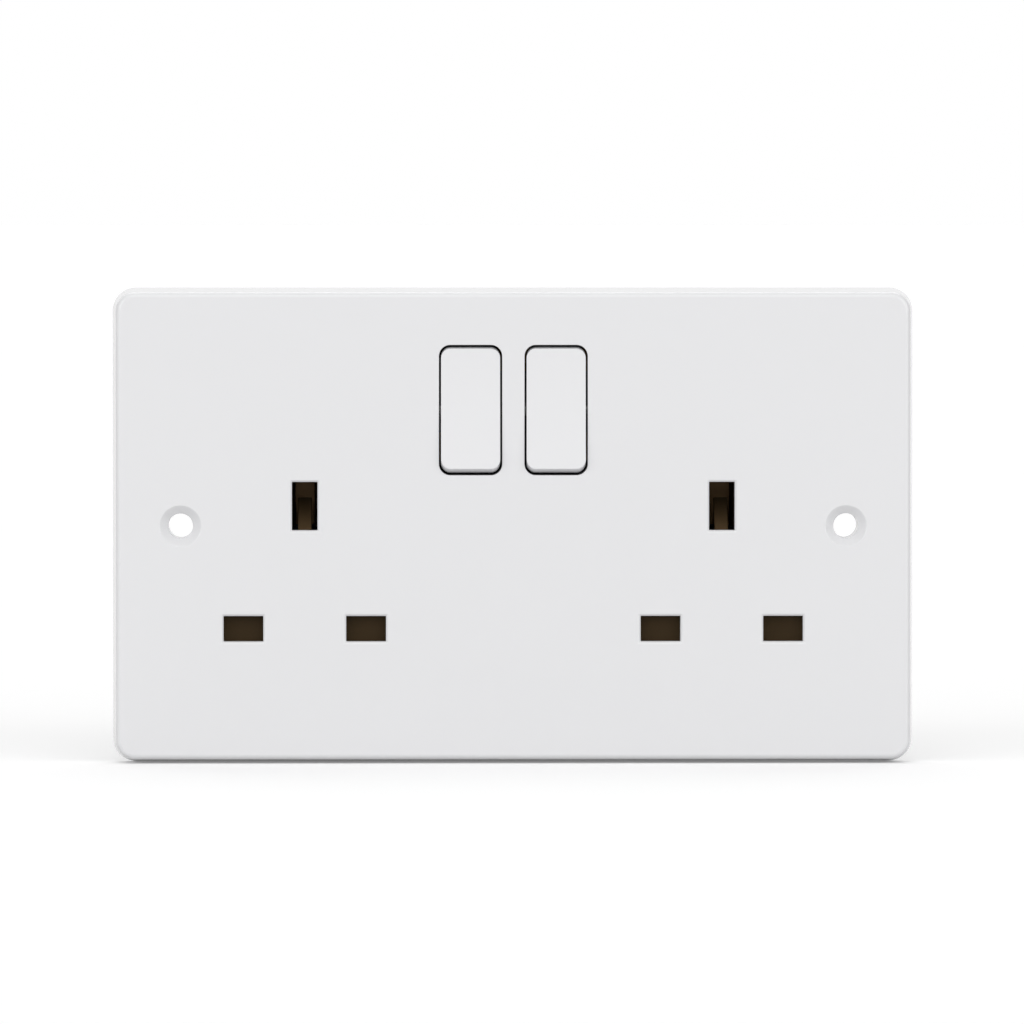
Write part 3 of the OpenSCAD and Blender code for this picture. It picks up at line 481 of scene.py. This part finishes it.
def threadPoints(radius, length, endFall, s, t):
    # Radius less the thread's depth where the turn z/pitch - a/2pi is between two crests.
    # It falls to the core over "endFall" at the foot, and at the top over the chamfer's length.
    rows = int(length / s["pitch"] * t["perTurn"]) + 1
    z = np.linspace(0, length, rows)[:, None]
    a = np.arange(s["sides"])[None, :] * 2 * math.pi / s["sides"]
    part = np.mod(z / s["pitch"] - a / (2 * math.pi), 1)
    crest = np.clip(t["crest"] - t["flank"] * np.abs(part - 0.5), 0, 1)
    foot = np.clip(z / endFall, 0, 1)
    top = np.clip((length - z) / (s["depth"] * t["fallShare"]), 0, 1)
    core = radius - s["depth"] - s["depth"] * (1 - foot) * t["fallShare"]
    r = core + s["depth"] * crest * np.minimum(foot, top)
    return np.stack([r * np.cos(a), r * np.sin(a), z + 0 * a], axis=-1)


def halfMoon(radius, side, heights, shares, s):
    # The part of a circle past the slot's edge, as loops at several heights, each a share of the outline.
    chord = s["slotWidth"] / 2
    start = math.asin(chord / radius)
    a = np.linspace(start, math.pi - start, s["arcPoints"])
    arc = np.stack([radius * np.cos(a), side * radius * np.sin(a)], axis=-1)
    x = np.linspace(arc[-1, 0], arc[0, 0], s["chordPoints"])[1:-1]
    loop = np.concatenate([arc, np.stack([x, np.full(len(x), side * chord)], axis=-1)])
    middle = loop.mean(axis=0)
    return np.stack([np.column_stack([middle + (loop - middle) * k, np.full(len(loop), h)])
                     for h, k in zip(heights, shares)])


def crossHead(s):
    # Loops from the seat over the pan to the recess, whose outline is min(reach/cos, half/sin) of the
    # angle from the nearest arm: a cross with straight arms.
    a = np.arange(s["sides"]) * 2 * math.pi / s["sides"]
    near = np.abs(np.mod(a + math.pi / 4, math.pi / 2) - math.pi / 4)
    cross = np.minimum(s["armReach"] / np.cos(near), s["armHalf"] / np.maximum(np.sin(near), leastSine))
    r, h = s["headD"] / 2, s["headH"]
    loops = [(np.full(len(a), r * wide), h * high) for wide, high in panShares]
    loops += [(cross * wide, h * high) for wide, high in mouthShares]
    loops += [(cross * wide, h - s["recess"] * deep) for wide, deep in recessShares]
    return np.stack([np.stack([k * np.cos(a), k * np.sin(a), np.full(len(a), z)], axis=-1) for k, z in loops])


def addClampScrew(nodeName, s):
    # A thread up to the slot's floor, and past it the two half moons that the slot leaves.
    low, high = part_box(nodeName)
    radius, length = (high.x - low.x) / 2, high.y - low.y
    base = ((low.x + high.x) / 2, low.y, (low.z + high.z) / 2)
    floor = length - s["slotDepth"]
    grids = [threadPoints(radius, floor, s["end"], s, threadSettings)]
    heights = (floor - s["sunk"], length - s["rim"], length)
    grids += [halfMoon(radius - s["depth"] / 2, side, heights, (1, 1, s["rimShare"]), s) for side in (-1, 1)]
    mesh = meshFrom(nodeName, [place(grid, base, (0, 1, 0)) for grid in grids])
    makePiece(nodeName + "_threaded", mesh, nodeName)


def addHousingScrews(s):
    # A pointed thread and a cross head at each of the four posts, two above and two below.
    name = "assembly_screws"
    low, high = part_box(name)
    seat = high.y - s["headH"]
    shank = threadPoints(s["shankD"] / 2, seat + s["sunk"] - low.y, s["point"], s, threadSettings)
    head = crossHead(s)
    grids = []
    for side in (-1, 1):
        for x, z in ((s["upperX"], s["upperZ"]), (s["lowerX"], s["lowerZ"])):
            grids.append(place(shank, (side * x, low.y, z), (0, 1, 0)))
            grids.append(place(head, (side * x, seat, z), (0, 1, 0)))
    makePiece(name + "_threaded", meshFrom(name, grids), name)


for nodeName in nodeFinishes["screwBrass"]:
    addClampScrew(nodeName, clampScrew)
addHousingScrews(housingScrew)
print("screws ready")


# floor, light and camera

stage = {"floorHalf": 30, "floorSeen": 0.97, "floorGlow": 0.185, "floorBounce": 0.65, "ambient": 0.45}
suns = {
    "frontSun": {"share": 0.155, "turn": 0, "rise": 14, "spread": 64},
    "hoodSun": {"share": 0.08, "turn": 0, "rise": 42, "spread": 28},
    "leftSun": {"share": 0.28, "turn": -40, "rise": 9, "spread": 46},
    "rightSun": {"share": 0.28, "turn": 40, "rise": 9, "spread": 46},
    "backSun": {"share": 0.25, "turn": 180, "rise": 54, "spread": 56},
}
cameraSet = {"distance": 1.85, "rise": 1.8, "turn": -0.8, "aimX": -0.25 * mm, "aimZ": 2.54 * mm,
             "frameWidth": 185.5 * mm, "sensor": 36, "near": 0.01, "far": 100}


def seenRay(nodes, links):
    # 1 for rays from the camera, mirror rays and rays through glass, else 0
    path = nodes.new("ShaderNodeLightPath")
    seen = path.outputs["Is Camera Ray"]
    for kind in ("Is Glossy Ray", "Is Transmission Ray"):
        either = nodes.new("ShaderNodeMath")
        either.operation = "MAXIMUM"
        links.new(seen, either.inputs[0])
        links.new(path.outputs[kind], either.inputs[1])
        seen = either.outputs[0]
    return seen


def pickBySight(nodes, links, lighting, shown, output):
    # The output takes "shown" where the ray is seen, and "lighting" elsewhere.
    pick = nodes.new("ShaderNodeMixShader")
    links.new(seenRay(nodes, links), pick.inputs[0])
    links.new(lighting.outputs[0], pick.inputs[1])
    links.new(shown.outputs[0], pick.inputs[2])
    links.new(pick.outputs[0], output.inputs["Surface"])


def makeWorld(s):
    # Seen rays find white, and the others find a grey of strength "ambient".
    world = bpy.data.worlds.new("studio")
    bpy.context.scene.world = world
    world.use_nodes = True
    nodes, links = world.node_tree.nodes, world.node_tree.links
    fill = nodes["Background"]
    fill.inputs["Color"].default_value = (1, 1, 1, 1)
    fill.inputs["Strength"].default_value = s["ambient"]
    white = nodes.new("ShaderNodeBackground")
    white.inputs["Color"].default_value = (1, 1, 1, 1)
    white.inputs["Strength"].default_value = 1
    pickBySight(nodes, links, fill, white, nodes["World Output"])


def makeFloor(s):
    # A square under the plate's lower edge. Seen rays find a pale floor that glows a little, which keeps the
    # shadow, and the others find a greyer one, so that it throws less light up.
    h, floorZ = s["floorHalf"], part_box("front_plate")[0].z
    mesh = bpy.data.meshes.new("floor")
    mesh.from_pydata([(-h, -h, floorZ), (h, -h, floorZ), (h, h, floorZ), (-h, h, floorZ)], [], [(0, 1, 2, 3)])
    floor = bpy.data.objects.new("floor", mesh)
    bpy.context.scene.collection.objects.link(floor)
    mat = bpy.data.materials.new("paleFloor")
    mat.use_nodes = True
    nodes, links = mat.node_tree.nodes, mat.node_tree.links
    nodes.remove(nodes["Principled BSDF"])
    bounce = nodes.new("ShaderNodeBsdfDiffuse")
    bounce.inputs["Color"].default_value = (s["floorBounce"],) * 3 + (1,)
    pale = nodes.new("ShaderNodeBsdfDiffuse")
    pale.inputs["Color"].default_value = (s["floorSeen"],) * 3 + (1,)
    glow = nodes.new("ShaderNodeEmission")
    glow.inputs["Color"].default_value = (1, 1, 1, 1)
    glow.inputs["Strength"].default_value = s["floorGlow"]
    both = nodes.new("ShaderNodeAddShader")
    links.new(pale.outputs[0], both.inputs[0])
    links.new(glow.outputs[0], both.inputs[1])
    pickBySight(nodes, links, bounce, both, nodes["Material Output"])
    mesh.materials.append(mat)


def towards(turn, rise):
    # The direction "rise" degrees above the floor and "turn" degrees to the right of the plate's front.
    turn, rise = math.radians(turn), math.radians(rise)
    return Vector((math.sin(turn) * math.cos(rise), -math.cos(turn) * math.cos(rise), math.sin(rise)))


def addSun(name, s):
    # Its strength is pi times the share that a white face square on to it gives back.
    lamp = bpy.data.lights.new(name, "SUN")
    lamp.energy = math.pi * s["share"]
    lamp.angle = math.radians(s["spread"])
    sun = bpy.data.objects.new(name, lamp)
    bpy.context.scene.collection.objects.link(sun)
    sun.rotation_euler = towards(s["turn"], s["rise"]).to_track_quat("Z", "Y").to_euler()


def makeCamera(c):
    # The lens is the sensor's width times the distance, over the width that fills the picture at the face.
    cam = bpy.data.objects.new("camera", bpy.data.cameras.new("camera"))
    bpy.context.scene.collection.objects.link(cam)
    cam.data.sensor_width = c["sensor"]
    cam.data.lens = c["sensor"] * c["distance"] / c["frameWidth"]
    back = towards(c["turn"], c["rise"])
    aim = Vector((c["aimX"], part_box("front_plate")[0].y, c["aimZ"]))
    cam.location = aim + back * c["distance"]
    cam.rotation_euler = back.to_track_quat("Z", "Y").to_euler()
    cam.data.clip_start = c["near"]
    cam.data.clip_end = c["far"]
    bpy.context.scene.camera = cam


makeWorld(stage)
makeFloor(stage)
for name, s in suns.items():
    addSun(name, s)
makeCamera(cameraSet)
bpy.context.scene.view_settings.view_transform = "Standard"
print("floor, light and camera ready")
